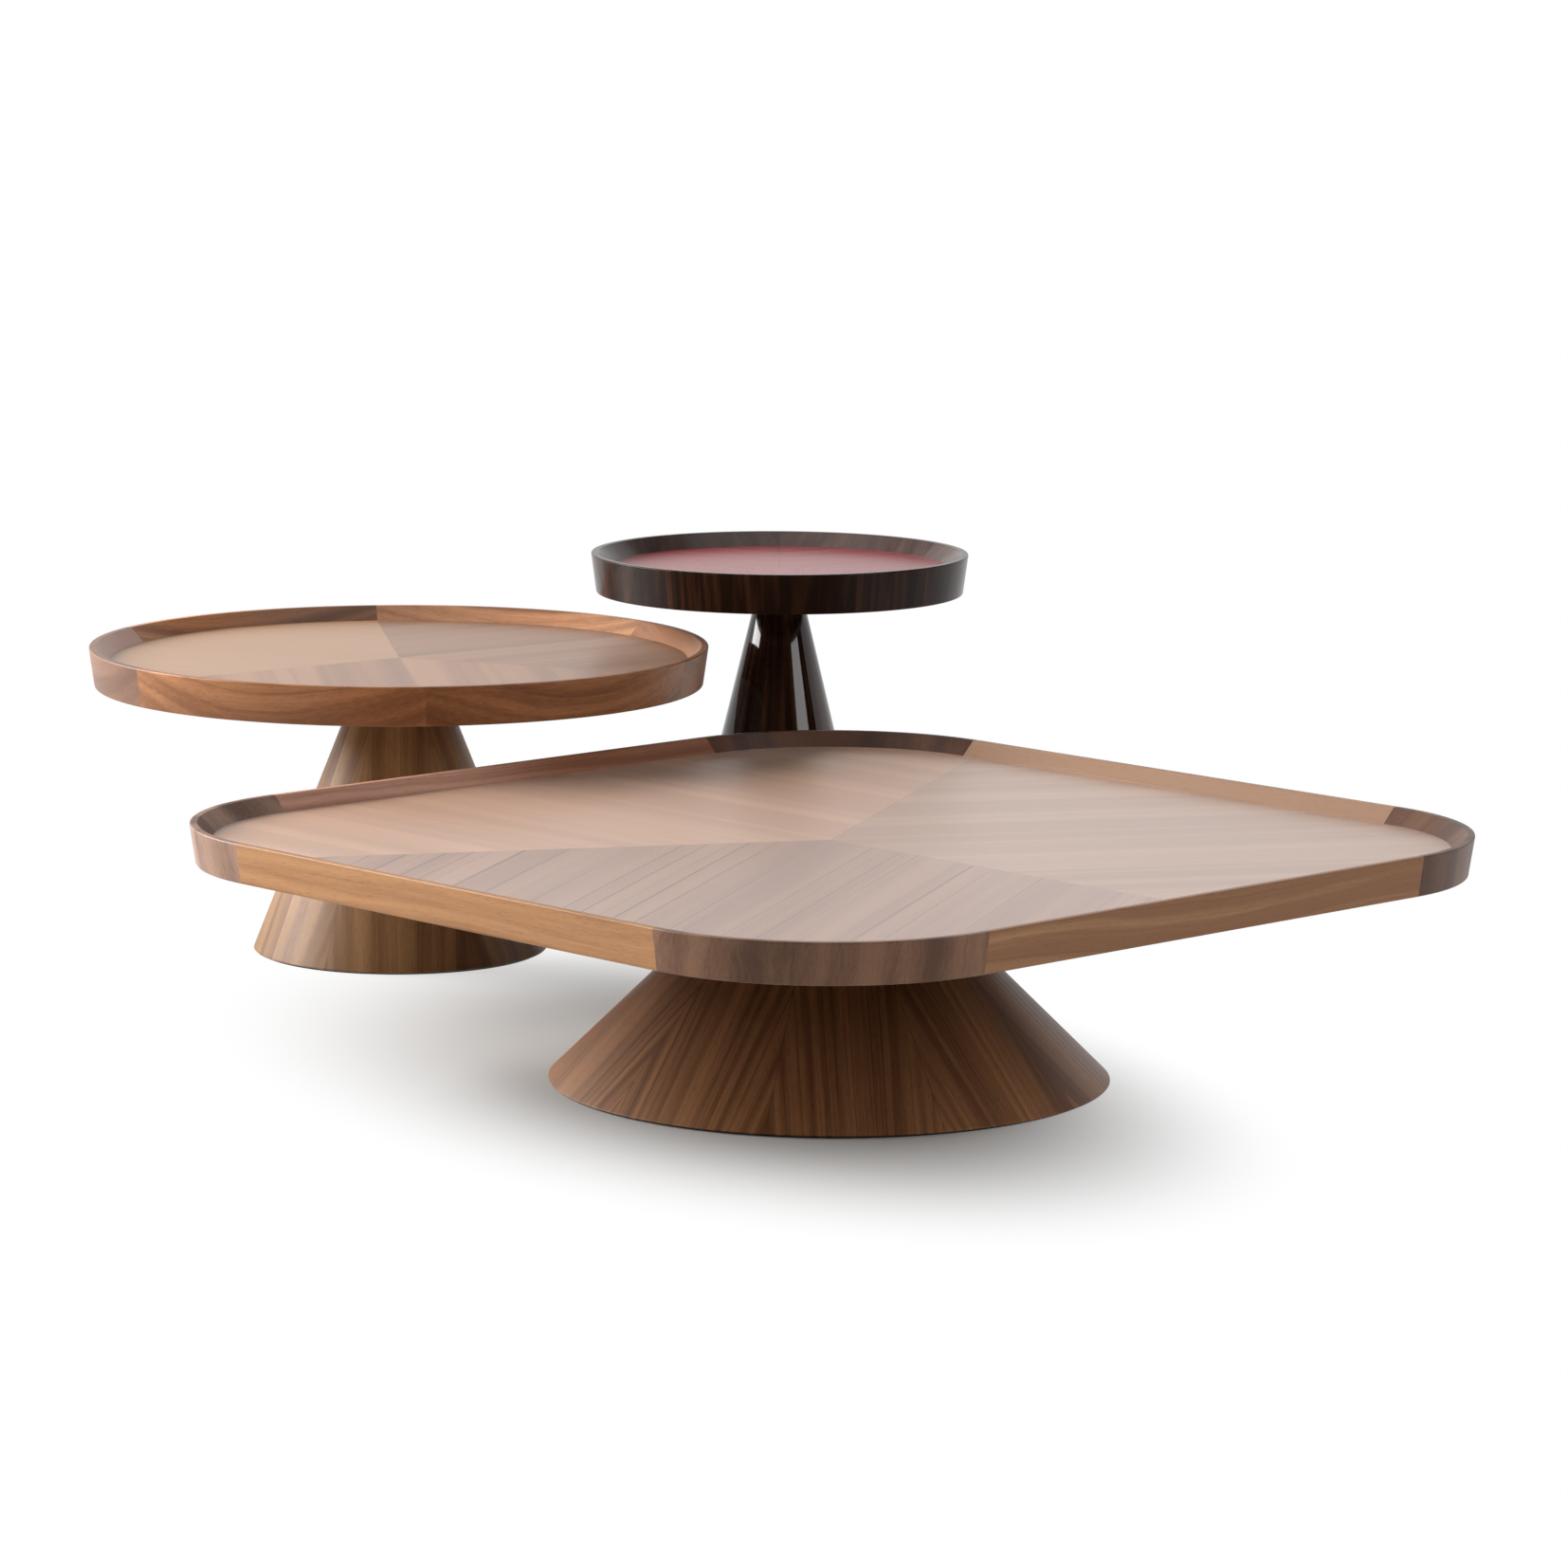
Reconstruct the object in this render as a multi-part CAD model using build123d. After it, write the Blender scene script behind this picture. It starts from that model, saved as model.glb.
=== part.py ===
from build123d import *
import math
import os

# Three nesting tray tables on cone pedestals. Millimetres, +Z up. The origin is on the floor,
# at the middle of the large table's foot. +X and +Y run square to the large table's sides.

os.makedirs("parts", exist_ok=True)

# Rim section, the same on all three trays: the outer face leans out towards the top, the top
# edge is flat, and the inner face slopes down to the tray floor.
RIM_FLARE = 7.0          # how far the top edge stands out past the bottom edge
RIM_TOP_WIDTH = 9.0      # flat top edge
RIM_SLOPE_RUN = 18.0     # width of the sloping inner face
RIM_EASE = 1.5           # eased edges
TRAY_DEPTH = 18.0        # from the top edge down to the tray floor
LEDGE_WIDTH = 14.0       # ledge under the edge of the core panel

# Tray panel
VENEER = 0.8             # thick sawn veneer leaves
CORE = 22.0              # core panel
LEAF_COUNT = 3           # leaves in the sunburst
LEAF_ANGLE = 360.0 / LEAF_COUNT

# Pedestal
PAD = 2.0                # felt pad under the foot
PAD_INSET = 6.0          # the pad is set back from the edge of the foot
FOOT_EASE = 1.5          # eased lower edge of the cone
FOOT_LEVEL = PAD + FOOT_EASE     # height at which the cone is widest
HEAD_DISC = 18.0         # thickness of the disc in the neck
BASE_DISC = 30.0         # thickness of the disc in the foot
BALLAST = 10.0           # thickness of the steel plate on the base disc
BALLAST_GAP = 2.0        # play between the ballast plate and the cone
ROD_START = 6.0          # height of the tie rod's lower end

# Mounting plate, let into the underside of the tray
PLATE = 5.0
SCREW_HEAD_RADIUS = 5.0
SCREW_HEAD_DEPTH = 3.0
SCREW_SHANK_RADIUS = 2.5
SCREW_LENGTH = 18.0
SCREW_EDGE = 16.0        # from the plate's rim to the screws' circle

# Flange nut and its pocket
NUT_POCKET_RADIUS = 22.0
NUT_POCKET_DEPTH = 18.0
NUT_FLANGE = 2.0
NUT_HEX = 10.0
NUT_HEX_SCALE = 1.75     # hexagon's outer radius over the rod's radius
NUT_FLANGE_SCALE = 2.4   # flange's radius over the rod's radius


class Table:
    """One table: where it stands and the sizes that differ from its neighbours'."""

    def __init__(self, name, place, height, rim_height, reach, corner, foot, neck, wall,
                 plate, screws, rod, seam_turn):
        self.name = name
        self.place = place                # middle of the foot on the floor
        self.height = height              # floor to the rim's top edge
        self.rim_height = rim_height
        self.reach = reach                # half the width of the tray, or its radius
        self.corner = corner              # corner radius of the tray, 0 where it is round
        self.foot = foot                  # cone radius at the foot
        self.neck = neck                  # cone radius under the tray
        self.wall = wall                  # thickness of the cone, measured level
        self.plate = plate                # radius of the mounting plate
        self.screws = screws              # screws in the mounting plate
        self.rod = rod                    # radius of the tie rod
        self.seam_turn = seam_turn        # direction of the first veneer seam, in degrees
        self.floor = height - TRAY_DEPTH
        self.core_top = self.floor - VENEER
        self.under = self.core_top - CORE
        self.inset = RIM_TOP_WIDTH + RIM_SLOPE_RUN

    def cone_radius(self, z, inside=False):
        """Radius of the cone at height z, on its outer or its inner face."""
        share = (z - FOOT_LEVEL) / (self.under - FOOT_LEVEL)
        radius = self.foot + (self.neck - self.foot) * share
        return radius - self.wall if inside else radius


LARGE = Table("large", (0, 0), height=300, rim_height=47, reach=600, corner=250, foot=328,
              neck=69, wall=15, plate=125, screws=8, rod=6, seam_turn=30)
MEDIUM = Table("medium", (153, 962), height=400, rim_height=50, reach=400, corner=0, foot=191,
               neck=50, wall=12, plate=95, screws=6, rod=6, seam_turn=54.8)
SMALL = Table("small", (641, 762), height=500, rim_height=52, reach=250, corner=0, foot=137,
              neck=27, wall=9, plate=60, screws=4, rod=5, seam_turn=46.3)

ROUND_RIM_LENGTHS = 6
ROUND_RIM_ANGLE = 360.0 / ROUND_RIM_LENGTHS
SQUARE_SIDES = ("right", "back", "left", "front")
QUARTER = 90.0


def save(table, piece, shape):
    """Stand a piece at its table's place and write it."""
    placed = Pos(*table.place, 0) * shape
    export_step(placed, f"parts/{table.name}_{piece}.step")


def turned(points):
    """Turn a closed outline, given as (radius, height) points, about the vertical axis."""
    outline = make_face(Polyline(*[(x, 0, z) for x, z in points], close=True).edges())
    return revolve(outline, axis=Axis.Z)


# --- Rim ---------------------------------------------------------------------------------

def rim_section(table, edge):
    """The rim's section, upright in the XZ plane, with its top outer edge at x = edge."""
    bottom = table.height - table.rim_height
    outer_foot = (edge - RIM_FLARE, 0, bottom)
    outer_top = (edge, 0, table.height)
    inner_top = (edge - RIM_TOP_WIDTH, 0, table.height)
    slope_foot = (edge - table.inset, 0, table.floor)
    ledge_back = (edge - table.inset, 0, table.under)
    ledge_top = (edge - table.inset - LEDGE_WIDTH, 0, table.under)
    ledge_foot = (edge - table.inset - LEDGE_WIDTH, 0, bottom)
    outline = Polyline(outer_foot, outer_top, inner_top, slope_foot, ledge_back, ledge_top,
                       ledge_foot, close=True)
    section = make_face(outline.edges())
    eased = [v for v in section.vertices()
             if any((Vector(*p) - Vector(v.X, v.Y, v.Z)).length < RIM_EASE / 2
                    for p in (outer_foot, outer_top, inner_top))]
    return fillet(eased, RIM_EASE)


def make_square_rim(table):
    """Four straight lengths along the sides and four quarter-round corners."""
    straight = table.reach - table.corner
    side = extrude(rim_section(table, table.reach), amount=straight, dir=(0, 1, 0), both=True)
    corner = revolve(rim_section(table, table.corner), axis=Axis.Z, revolution_arc=QUARTER)
    corner = Rot(0, 0, QUARTER * (corner.center().Y < 0)) * corner
    corner = Pos(straight, straight, 0) * corner
    for index, name in enumerate(SQUARE_SIDES):
        turn = Rot(0, 0, QUARTER * index)
        save(table, f"rim_{name}", turn * side)
        save(table, f"rim_corner_{index + 1}", turn * corner)


def make_round_rim(table):
    """Six equal curved lengths, with joints in line with the veneer seams."""
    length = revolve(rim_section(table, table.reach), axis=Axis.Z,
                     revolution_arc=ROUND_RIM_ANGLE)
    start = table.seam_turn + ROUND_RIM_ANGLE * (length.center().Y < 0)
    for index in range(ROUND_RIM_LENGTHS):
        turn = Rot(0, 0, start + ROUND_RIM_ANGLE * index)
        save(table, f"rim_length_{index + 1}", turn * length)


# --- Tray panel --------------------------------------------------------------------------

def tray_plan(table):
    """Plan of the tray floor, inside the rim."""
    size = table.reach - table.inset
    if table.corner:
        return RectangleRounded(2 * size, 2 * size, table.corner - table.inset)
    return Circle(size)


def screw_places(table):
    circle = table.plate - SCREW_EDGE
    step = 2 * math.pi / table.screws
    return [(circle * math.cos(step * k), circle * math.sin(step * k))
            for k in range(table.screws)]


def make_mounting(table):
    """The steel plate under the tray and its countersunk screws."""
    under = table.under
    screw = turned([(0, under), (SCREW_HEAD_RADIUS, under),
                    (SCREW_SHANK_RADIUS, under + SCREW_HEAD_DEPTH),
                    (SCREW_SHANK_RADIUS, under + SCREW_LENGTH - SCREW_SHANK_RADIUS),
                    (0, under + SCREW_LENGTH)])
    screws = Compound(children=[Pos(x, y, 0) * screw for x, y in screw_places(table)])
    disc = Pos(0, 0, under) * extrude(Circle(table.plate), PLATE)
    rod_hole = Pos(0, 0, under) * extrude(Circle(table.rod), PLATE)
    plate = disc - rod_hole - screws.solids()
    save(table, "mounting_plate", plate)
    save(table, "plate_screws", screws)
    return disc, screws


def make_tray(table):
    """The core panel with the mounting plate let in, and the veneer leaves on it."""
    plan = tray_plan(table)
    disc, screws = make_mounting(table)
    core = Pos(0, 0, table.under) * extrude(plan, CORE) - disc - screws.solids()
    save(table, "tray_core", core)
    far = 2 * table.reach
    for index in range(LEAF_COUNT):
        start = math.radians(table.seam_turn + LEAF_ANGLE * index)
        corners = [(far * math.cos(start + math.radians(LEAF_ANGLE) * share),
                    far * math.sin(start + math.radians(LEAF_ANGLE) * share))
                   for share in (0, 0.5, 1)]
        wedge = make_face(Polyline((0, 0), *corners, close=True).edges())
        leaf = Pos(0, 0, table.core_top) * extrude(plan & wedge, VENEER)
        save(table, f"tray_leaf_{index + 1}", leaf)


# --- Pedestal ----------------------------------------------------------------------------

def cone_disc(table, low, high, play=0.0):
    """A disc that fits the cone's inner face from height low to height high."""
    return turned([(0, low), (table.cone_radius(low, inside=True) - play, low),
                   (table.cone_radius(high, inside=True) - play, high), (0, high)])


def make_cone(table):
    """The hollow cone, with an eased lower edge."""
    cone = turned([(table.cone_radius(PAD, inside=True), PAD), (table.foot - FOOT_EASE, PAD),
                   (table.foot, FOOT_LEVEL), (table.neck, table.under),
                   (table.neck - table.wall, table.under)])
    save(table, "cone", cone)


def make_nut(table, seat):
    """A flange nut that bears up against the pocket's roof at height seat."""
    flange = Pos(0, 0, seat - NUT_FLANGE) * extrude(Circle(table.rod * NUT_FLANGE_SCALE),
                                                   NUT_FLANGE)
    hexagon = RegularPolygon(table.rod * NUT_HEX_SCALE, 6)
    body = Pos(0, 0, seat - NUT_FLANGE - NUT_HEX) * extrude(hexagon, NUT_HEX)
    bore = Pos(0, 0, seat - NUT_FLANGE - NUT_HEX) * extrude(Circle(table.rod),
                                                            NUT_FLANGE + NUT_HEX)
    save(table, "tie_nut", flange + body - bore)


def make_pedestal(table):
    """Cone, inner discs, ballast, tie rod with its nut, and the felt pad."""
    make_cone(table)
    rod_top = table.under + PLATE
    rod = Pos(0, 0, ROD_START) * extrude(Circle(table.rod), rod_top - ROD_START)
    head = cone_disc(table, table.under - HEAD_DISC, table.under) - rod
    pocket = Pos(0, 0, PAD) * extrude(Circle(NUT_POCKET_RADIUS), NUT_POCKET_DEPTH)
    base_top = PAD + BASE_DISC
    base = cone_disc(table, PAD, base_top) - pocket - rod
    ballast = cone_disc(table, base_top, base_top + BALLAST, play=BALLAST_GAP) - rod
    pad = extrude(Circle(table.foot - PAD_INSET), PAD)
    make_nut(table, seat=PAD + NUT_POCKET_DEPTH)
    for piece, shape in (("tie_rod", rod), ("head_disc", head), ("base_disc", base),
                         ("ballast_plate", ballast), ("floor_pad", pad)):
        save(table, piece, shape)


for table in (LARGE, MEDIUM, SMALL):
    if table.corner:
        make_square_rim(table)
    else:
        make_round_rim(table)
    make_tray(table)
    make_pedestal(table)
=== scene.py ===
import math

import bpy
from mathutils import Euler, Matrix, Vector


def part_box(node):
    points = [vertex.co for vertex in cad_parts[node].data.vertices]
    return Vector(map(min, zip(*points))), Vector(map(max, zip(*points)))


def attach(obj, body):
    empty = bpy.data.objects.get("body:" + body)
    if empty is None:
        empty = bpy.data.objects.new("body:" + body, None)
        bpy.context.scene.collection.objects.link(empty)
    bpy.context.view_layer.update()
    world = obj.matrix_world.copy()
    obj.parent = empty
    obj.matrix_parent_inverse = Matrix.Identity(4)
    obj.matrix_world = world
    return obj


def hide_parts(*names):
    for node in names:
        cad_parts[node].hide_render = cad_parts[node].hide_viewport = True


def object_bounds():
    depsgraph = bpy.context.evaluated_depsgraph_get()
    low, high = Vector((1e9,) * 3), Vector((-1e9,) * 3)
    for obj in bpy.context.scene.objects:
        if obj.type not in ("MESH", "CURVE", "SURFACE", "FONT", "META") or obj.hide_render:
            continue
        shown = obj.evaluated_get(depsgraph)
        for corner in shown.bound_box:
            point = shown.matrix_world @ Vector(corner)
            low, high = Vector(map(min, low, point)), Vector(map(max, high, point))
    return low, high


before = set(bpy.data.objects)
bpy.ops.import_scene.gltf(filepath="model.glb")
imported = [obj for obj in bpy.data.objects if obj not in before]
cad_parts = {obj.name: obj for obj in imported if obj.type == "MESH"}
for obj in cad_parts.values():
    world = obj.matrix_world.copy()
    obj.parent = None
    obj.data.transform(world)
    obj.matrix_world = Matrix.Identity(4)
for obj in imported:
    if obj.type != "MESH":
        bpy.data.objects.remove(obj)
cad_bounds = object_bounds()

# --- Camera ------------------------------------------------------------------------------
# The viewer stands off one corner of the large table and looks a little down on the trays,
# through a long lens, so that the three heights read as steps.

VIEW_TURN = math.radians(-43.68)         # turned from looking along +Y
VIEW_DISTANCE = 6.61                     # from the large table's axis, along the look
VIEW_SIDESTEP = -0.055                   # to the right of that line
VIEW_HEIGHT = 1.399
VIEW_DIP = math.radians(9.04)
VIEW_ROLL = math.radians(0.40)
LENS_MM = 132.6

look = Vector((-math.sin(VIEW_TURN), math.cos(VIEW_TURN), 0))
right = Vector((look.y, -look.x, 0))
up = Vector((0, 0, 1))

camera = bpy.data.objects.new("camera", bpy.data.cameras.new("camera"))
camera.data.lens = LENS_MM
camera.location = right * VIEW_SIDESTEP - look * VIEW_DISTANCE + up * VIEW_HEIGHT
camera.rotation_euler = (Euler((math.pi / 2 - VIEW_DIP, 0, VIEW_TURN)).to_matrix()
                         @ Euler((0, 0, VIEW_ROLL)).to_matrix()).to_euler()
bpy.context.collection.objects.link(camera)
bpy.context.scene.camera = camera
bpy.context.scene.view_settings.view_transform = "Standard"


# --- Studio ------------------------------------------------------------------------------
# A white sweep behind the tables, a black curtain and ceiling on the viewer's side, a large
# soft light on the left, weaker ones on the right, overhead and in front, and a pale floor
# that fades into the sweep but keeps the tables' shadow.

CURTAIN_REACH, CEILING_HEIGHT, CEILING_END = 6.0, 4.2, 5.8
CURTAIN_START = math.radians(84)         # from the look, on both sides
CURTAIN_STEPS = 16
FLOOR_COLOUR = (0.55, 0.54, 0.525)
FLOOR_HALF, FLOOR_DROP = 7.0, 0.0002     # the pads stand just clear of the floor's plane
SHADOW_MIDDLE = right * -0.12 + look * 0.03
SHADOW_WIDTH, SHADOW_DEPTH = 0.54, 0.96
SHADOW_TURN = math.radians(27)           # the light comes from the left, so it lies askew
FADE_START, FADE_END = 0.36, 1.0         # shares of the way out to the shadow's edge
CLOTH_COLOUR = (0.01, 0.01, 0.01)
WHITE = (1.0, 1.0, 1.0)


class Socket:
    """A socket of a node tree, or the tree alone. Arithmetic adds the Math node that does it."""

    def __init__(self, tree, socket=None):
        self.tree = tree
        self.socket = socket

    def node(self, kind, settings=None, values=None, output=0):
        """Any node: its type, its settings, then the values or links of its sockets.

        The setting stops makes a ramp of level (place, colour) steps.
        """
        made = self.tree.nodes.new(kind)
        for name, setting in (settings or {}).items():
            if name == "stops":
                made.color_ramp.interpolation = "CONSTANT"
                ready = len(made.color_ramp.elements)
                for index, (place, colour) in enumerate(setting):
                    stops = made.color_ramp.elements
                    stop = stops[index] if index < ready else stops.new(place)
                    stop.position, stop.color = place, (*colour, 1)
            else:
                setattr(made, name, setting)
        for name, value in (values or {}).items():
            if isinstance(value, Socket):
                self.tree.links.new(value.socket, made.inputs[name])
            else:
                made.inputs[name].default_value = value
        return Socket(self.tree, made.outputs[output] if made.outputs else None)

    def maths(self, operation, *values):
        """A Math node."""
        return self.node("ShaderNodeMath", {"operation": operation}, dict(enumerate(values)))

    def __add__(self, other):
        return self.maths("ADD", self, other)

    def __radd__(self, other):
        return self.maths("ADD", other, self)

    def __sub__(self, other):
        return self.maths("SUBTRACT", self, other)

    def __rsub__(self, other):
        return self.maths("SUBTRACT", other, self)

    def __mul__(self, other):
        return self.maths("MULTIPLY", self, other)

    def __rmul__(self, other):
        return self.maths("MULTIPLY", other, self)

    def __truediv__(self, other):
        return self.maths("DIVIDE", self, other)

    def __rtruediv__(self, other):
        return self.maths("DIVIDE", other, self)

    def __abs__(self):
        return self.maths("ABSOLUTE", self)

    def step(self, low, high):
        """0 up to low, 1 from high, smooth between."""
        return self.node("ShaderNodeMapRange", {"interpolation_type": "SMOOTHSTEP"},
                         {"Value": self, "From Min": low, "From Max": high})

    def vector(self, x, y, z):
        """A vector of three numbers."""
        return self.node("ShaderNodeCombineXYZ", {}, {0: x, 1: y, 2: z})

    def split(self):
        """The three numbers of a vector."""
        return [self.node("ShaderNodeSeparateXYZ", {}, {0: self}, output=k) for k in range(3)]

    def noise(self, x, y, z, detail=2.0, roughness=0.5):
        """Noise from 0 to 1 with features about one unit across."""
        return self.node("ShaderNodeTexNoise", {},
                         {"Vector": self.vector(x, y, z), "Scale": 1.0, "Detail": detail,
                          "Roughness": roughness})

    def mix(self, share, first, second, blend="MIX"):
        """A blend of two colours, through the node's own colour sockets."""
        pair = [value if isinstance(value, Socket) else (*value, 1) for value in (first, second)]
        return self.node("ShaderNodeMix", {"data_type": "RGBA", "blend_type": blend},
                         {0: share, 6: pair[0], 7: pair[1]}, output=2)


def new_material(name):
    """An empty material, and a socket from which its nodes are made."""
    made = bpy.data.materials.new(name)
    made.use_nodes = True
    made.node_tree.nodes.clear()
    return made, Socket(made.node_tree)


world = bpy.data.worlds.new("studio")
bpy.context.scene.world = world
world.use_nodes = True
world.node_tree.nodes.clear()
sky = Socket(world.node_tree)
sky.node("ShaderNodeOutputWorld", {},
         {0: sky.node("ShaderNodeBackground", {}, {0: (*WHITE, 1), 1: 1.0})})


def stage_piece(name, corners, faces, shader):
    """A piece of the studio, given a material by a function of an empty one."""
    mesh = bpy.data.meshes.new(name)
    mesh.from_pydata(corners, [], faces)
    material, paint = new_material(name)
    shader(paint)
    mesh.materials.append(material)
    made = bpy.data.objects.new(name, mesh)
    bpy.context.collection.objects.link(made)
    return made


def black_cloth(paint):
    """Cloth that takes nearly all the light that falls on it."""
    cloth = paint.node("ShaderNodeBsdfDiffuse", {}, {0: (*CLOTH_COLOUR, 1)})
    paint.node("ShaderNodeOutputMaterial", {}, {0: cloth})


turns = [CURTAIN_START + (2 * math.pi - 2 * CURTAIN_START) * k / CURTAIN_STEPS
         for k in range(CURTAIN_STEPS + 1)]
hem = [CURTAIN_REACH * (look * math.cos(turn) - right * math.sin(turn)) for turn in turns]
head = [place + up * CEILING_HEIGHT for place in hem]
ceiling_end = [side * CURTAIN_REACH * right + CEILING_END * look + CEILING_HEIGHT * up
               for side in (1, -1)]
count = len(hem)
curtain_faces = [(k, k + 1, k + 1 + count, k + count) for k in range(CURTAIN_STEPS)]
ceiling_face = tuple(range(count, 2 * count + len(ceiling_end)))
curtain = stage_piece("black_curtain", hem + head + ceiling_end,
                      curtain_faces + [ceiling_face], black_cloth)
curtain.visible_camera = False

group_middle = (cad_bounds[0] + cad_bounds[1]) / 2


def soft_light(name, turn, rise, distance, width, tall, power):
    """A rectangular soft light aimed at the tables, turned to the right of the look."""
    lamp = bpy.data.objects.new(name, bpy.data.lights.new(name, "AREA"))
    lamp.data.shape = "RECTANGLE"
    lamp.data.size, lamp.data.size_y = width, tall
    lamp.data.energy = power
    across, lift = math.radians(turn), math.radians(rise)
    level = look * math.cos(across) + right * math.sin(across)
    lamp.location = group_middle + distance * (level * math.cos(lift) + up * math.sin(lift))
    lamp.rotation_euler = (group_middle - lamp.location).to_track_quat("-Z", "Y").to_euler()
    lamp.visible_camera = False
    bpy.context.collection.objects.link(lamp)
    return lamp


soft_light("key_light", turn=-78, rise=24, distance=4.6, width=3.6, tall=2.2, power=430)
soft_light("fill_light", turn=120, rise=24, distance=4.6, width=2.2, tall=2.0, power=68)
top_light = soft_light("top_light", turn=0, rise=77, distance=3.5, width=4.4, tall=1.4, power=45)
top_light.visible_diffuse = False        # a pale board, seen only in polished faces
front_light = soft_light("front_light", turn=-140, rise=25, distance=4.6, width=2.0, tall=2.0,
                         power=22)
front_light.visible_glossy = False       # cross-polarised, so that it leaves no highlight


def pale_floor(paint):
    """Lit where the shadow falls; further out, the white of the sweep."""
    spot = paint.node("ShaderNodeTexCoord", output="Object")
    out = paint.node("ShaderNodeVectorMath", {"operation": "SUBTRACT"},
                     {0: spot, 1: SHADOW_MIDDLE})
    wide = right * math.cos(SHADOW_TURN) + look * math.sin(SHADOW_TURN)
    across, back = (paint.node("ShaderNodeVectorMath", {"operation": "DOT_PRODUCT"},
                               {0: out, 1: way / reach}, output="Value")
                    for way, reach in ((wide, SHADOW_WIDTH), (up.cross(wide), SHADOW_DEPTH)))
    away = paint.maths("SQRT", across * across + back * back)
    lit = paint.node("ShaderNodeBsdfDiffuse", {}, {0: (*FLOOR_COLOUR, 1)})
    blank = paint.node("ShaderNodeEmission", {}, {0: (*WHITE, 1), 1: 1.0})
    seen, mirrored, through = (
        paint.node("ShaderNodeLightPath", output=f"Is {kind} Ray")
        for kind in ("Camera", "Glossy", "Transmission"))
    fade = (seen + mirrored + through) * away.step(FADE_START, FADE_END)
    paint.node("ShaderNodeOutputMaterial", {},
               {0: paint.node("ShaderNodeMixShader", {}, {0: fade, 1: lit, 2: blank})})


stage_piece("pale_floor", [(x * FLOOR_HALF, y * FLOOR_HALF, -FLOOR_DROP)
                           for x, y in ((-1, -1), (1, -1), (1, 1), (-1, 1))],
            [(0, 1, 2, 3)], pale_floor)


# --- Floor pads --------------------------------------------------------------------------
# A disc of black felt glued under each foot, set back from its edge. The fibres lie every
# way, so the pad is dull and slightly uneven.

FELT_DARK, FELT_PALE = (0.006, 0.006, 0.006), (0.040, 0.038, 0.036)
FELT_FIBRES, FELT_TUFTS = (900, 900, 900), (60, 60, 60)        # to a metre along X, Y and Z
FELT_ROUGHNESS, FELT_PILE = 0.95, 0.0006


class Table:
    """Where one table stands and its main heights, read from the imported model."""

    def __init__(self, name):
        low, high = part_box(f"{name}_cone")
        self.name = name
        self.body = f"{name}_table"
        self.axis = Vector(((low.x + high.x) / 2, (low.y + high.y) / 2, 0))
        self.foot = (high.x - low.x) / 2                       # radius of the cone's foot
        self.pad = low.z                                       # top of the pad
        self.under = high.z                                    # underside of the tray
        self.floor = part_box(f"{name}_tray_leaf_1")[1].z        # top of the veneer


TABLES = [Table(name) for name in ("large", "medium", "small")]
large, medium, small = TABLES


def surface(wood, colour, roughness, height=None, depth=0.0, coat=0.0, coat_roughness=0.1,
            metallic=0.0, specular=0.5, sheen=0.0):
    """Join a colour, roughness and relief, in metres, in one shader and give it out."""
    values = {"Base Color": colour if isinstance(colour, Socket) else (*colour, 1),
              "Roughness": roughness, "Metallic": metallic, "Specular IOR Level": specular,
              "Coat Weight": coat, "Coat Roughness": coat_roughness, "Sheen Weight": sheen}
    if height is not None:
        values["Normal"] = wood.node("ShaderNodeBump", {},
                                     {"Strength": 1.0, "Distance": depth, "Height": height})
    shader = wood.node("ShaderNodeBsdfPrincipled", {}, values)
    wood.node("ShaderNodeOutputMaterial", {}, {0: shader})


def finish(material, *nodes):
    """Give carried CAD nodes a finish."""
    for node in nodes:
        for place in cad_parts[node].material_slots:
            place.material = material


def object_place(paint):
    """Object coordinates, in metres."""
    return paint.node("ShaderNodeTexCoord", output="Object").split()


def grains(paint, per_metre, detail=2.0):
    """Noise with so many grains to a metre along X, Y and Z."""
    spread = [part * count for part, count in zip(object_place(paint), per_metre)]
    return paint.noise(*spread, detail)


felt_material, felt = new_material("black_felt")
fibres = grains(felt, FELT_FIBRES, detail=3)
tufts = fibres * grains(felt, FELT_TUFTS)
surface(felt, felt.mix(tufts, FELT_DARK, FELT_PALE), FELT_ROUGHNESS, height=fibres,
        depth=FELT_PILE)
for table in TABLES:
    finish(felt_material, f"{table.name}_floor_pad")


# --- Inner discs -------------------------------------------------------------------------
# Birch plywood discs close the cone at its foot and in its neck. Their sawn edges show the
# plies, their faces the plain rotary-cut grain.

PLY = 0.0015
BIRCH_DARK, BIRCH_PALE = (0.42, 0.29, 0.17), (0.56, 0.42, 0.27)
CROSS_PLY = (0.20, 0.12, 0.065)
BIRCH_FIGURE, BIRCH_FIBRES = (7, 60, 3), (60, 900, 200)        # to a metre
MIDRANGE = 0.3, 0.7                      # where most of a noise lies
SAWN_RELIEF = 0.0001

plywood, ply = new_material("birch_plywood")
figure = grains(ply, BIRCH_FIGURE, detail=3)
fibres = grains(ply, BIRCH_FIBRES)
layer = ply.maths("PINGPONG", object_place(ply)[2] / PLY, 1.0)
upright = 1 - abs(ply.node("ShaderNodeNewGeometry", output="Normal").split()[2])
face = ply.mix(figure.step(*MIDRANGE), BIRCH_DARK, BIRCH_PALE)
edge = ply.mix(layer.step(*MIDRANGE), CROSS_PLY, face)
surface(ply, ply.mix(upright.step(0.4, 0.6), face, edge), roughness=0.62 + 0.15 * fibres,
        height=fibres, depth=SAWN_RELIEF)
for table in TABLES:
    finish(plywood, f"{table.name}_head_disc", f"{table.name}_base_disc")


# --- Ballast, mounting plates and tie rods -----------------------------------------------
# A steel plate low in the cone keeps the table from tipping. A second plate, let into the
# tray, takes the tie rod, which pulls tray and cone together. The plates are powder-coated
# black, the rod, its nut and the screws zinc-plated.

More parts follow.
